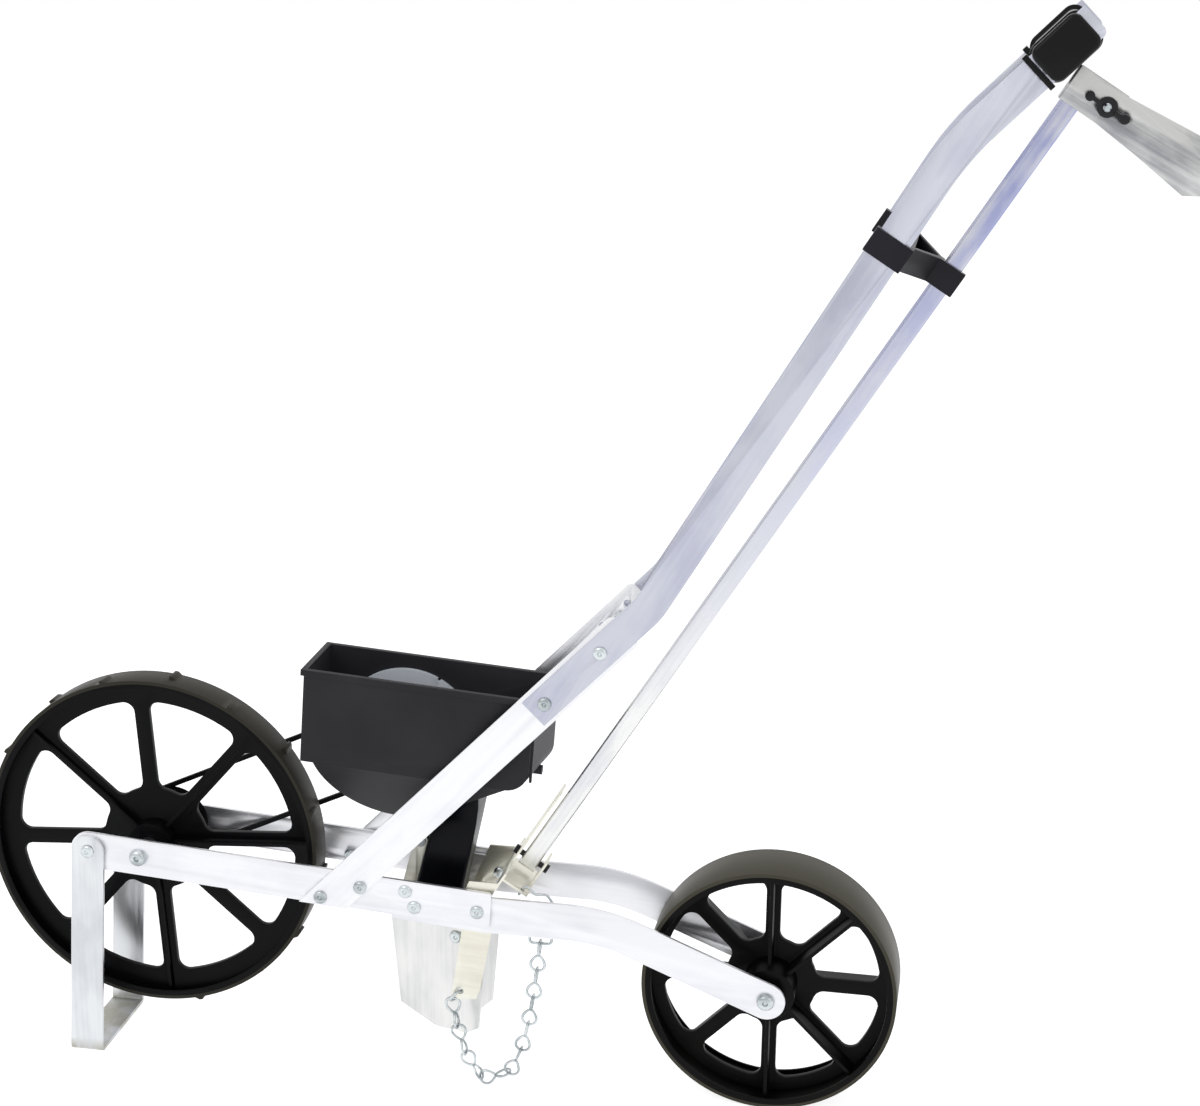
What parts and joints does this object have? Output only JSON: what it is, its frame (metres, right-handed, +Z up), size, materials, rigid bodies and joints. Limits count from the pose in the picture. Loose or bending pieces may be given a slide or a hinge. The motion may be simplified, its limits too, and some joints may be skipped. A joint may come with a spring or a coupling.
{
  "type": "walk-behind seed planter",
  "caption": "Hand-pushed garden seed planter: two wheels in line, seed hopper with a belt-driven seed plate, furrow opener, drag chain, folding kickstand and swing-out row marker.",
  "frame": {"origin": "on the ground, under the middle of the whole machine's box", "axes": "+X rearwards along the row, from the front wheel to the operator; +Y to the machine's right, along the axles; +Z up"},
  "size_m": [0.994, 0.124, 0.8971],
  "materials": {
    "rail": "mill-finish aluminium strap, nearly white, soft grain",
    "handle": "satin anodised strap, cool lavender grey",
    "bracket": "bent sheet, satin",
    "marker": "drawn tube, satin",
    "blade": "zinc-plated sheet",
    "shoe": "bright zinc-plated sheet",
    "zinc": "bright zinc plating",
    "spacer": "turned steel",
    "pin": "black oxide",
    "wheel": "moulded black plastic, slight sheen",
    "tread_wheel": "moulded black plastic, brownish sheen on the tread",
    "hopper": "charcoal plastic, fine texture",
    "chute": "black plastic",
    "seed_plate": "pale blue plastic",
    "belt": "black rubber belt",
    "grip": "glossy black plastic",
    "clip": "black plastic"
  },
  "bodies": {
    "frame": {"front_rail_left": "rail", "front_rail_right": "rail", "rear_rail_left": "rail", "rear_rail_right": "rail", "handle_brace_left": "rail", "handle_brace_right": "rail", "upper_handle_left": "handle", "upper_handle_right": "handle", "handle_grip": "grip", "grip_caps": "grip", "grip_rod": "zinc", "handle_bolts": "zinc", "handle_nuts": "zinc", "brace_bolts": "zinc", "brace_nuts": "zinc", "frame_rivets": "zinc", "stand_rivets": "zinc", "front_axle_bolt": "zinc", "front_axle_nut": "zinc", "front_spacers": "spacer", "rear_axle_bolt": "zinc", "rear_axle_nut": "zinc", "rear_spacers": "spacer", "hopper": "hopper", "seed_duct": "hopper", "drive_belt": "belt", "seed_chute": "chute", "hopper_screws": "zinc", "chute_bracket": "bracket", "chute_screw": "zinc", "opener_bracket": "bracket", "marker_bracket": "bracket", "marker_pin": "pin", "marker_clip": "clip", "chain_hanger": "zinc"},
    "front_wheel": {"front_wheel": "wheel", "front_bush": "spacer", "drive_pulley": "wheel"},
    "seed_drive": {"seed_plate": "seed_plate", "seed_shaft": "spacer", "hopper_pulley": "wheel"},
    "rear_wheel": {"rear_wheel": "tread_wheel", "rear_bush": "spacer"},
    "kickstand": {"kickstand": "rail"},
    "row_marker": {"marker_bar": "marker"},
    "marker_blade": {"marker_blade": "blade", "marker_bolt": "zinc"},
    "wing_nut": {"wing_nut": "pin"},
    "opener": {"opener_shoe": "shoe", "shoe_bolt": "zinc", "shoe_nut": "zinc"},
    "drag_chain": {"drag_chain": "zinc", "chain_ring": "zinc"}
  },
  "joints": [
    {"name": "front_wheel_spin", "type": "hinge", "parent": "frame", "child": "front_wheel", "pos_m": [-0.34946, 0, 0.18457], "axis": [0, 1, 0], "continuous": true},
    {"name": "seed_drive_spin", "type": "hinge", "parent": "frame", "child": "seed_drive", "pos_m": [-0.13316, 0, 0.285], "axis": [0, 1, 0], "continuous": true},
    {"name": "rear_wheel_spin", "type": "hinge", "parent": "frame", "child": "rear_wheel", "pos_m": [0.18284, 0, 0.105], "axis": [0, 1, 0], "continuous": true},
    {"name": "kickstand_fold", "type": "hinge", "parent": "frame", "child": "kickstand", "pos_m": [-0.39296, 0, 0.1875], "axis": [0, 1, 0], "range_deg": [0, 200]},
    {"name": "row_marker_swing", "type": "hinge", "parent": "frame", "child": "row_marker", "pos_m": [-0.02076, 0, 0.1944], "axis": [-0.8462, 0, 0.5329], "range_deg": [0, 100]},
    {"name": "marker_blade_slide", "type": "slide", "parent": "row_marker", "child": "marker_blade", "axis": [0.5329, 0, 0.8462], "range_m": [-0.12, 0]},
    {"name": "wing_nut_turn", "type": "hinge", "parent": "marker_blade", "child": "wing_nut", "pos_m": [0.40316, 0, 0.8244], "axis": [0, 1, 0], "continuous": true},
    {"name": "opener_depth", "type": "slide", "parent": "frame", "child": "opener", "axis": [0, 0, 1], "range_m": [-0.035, 0]},
    {"name": "drag_chain_swing", "type": "hinge", "parent": "frame", "child": "drag_chain", "pos_m": [-0.00516, -0.037, 0.136], "axis": [-0.8063, -0.0119, -0.5913], "range_deg": [-3, 12]}
  ],
  "couplings": [
    {"joint": "seed_drive_spin", "follows": "front_wheel_spin", "ratio": 1}
  ]
}
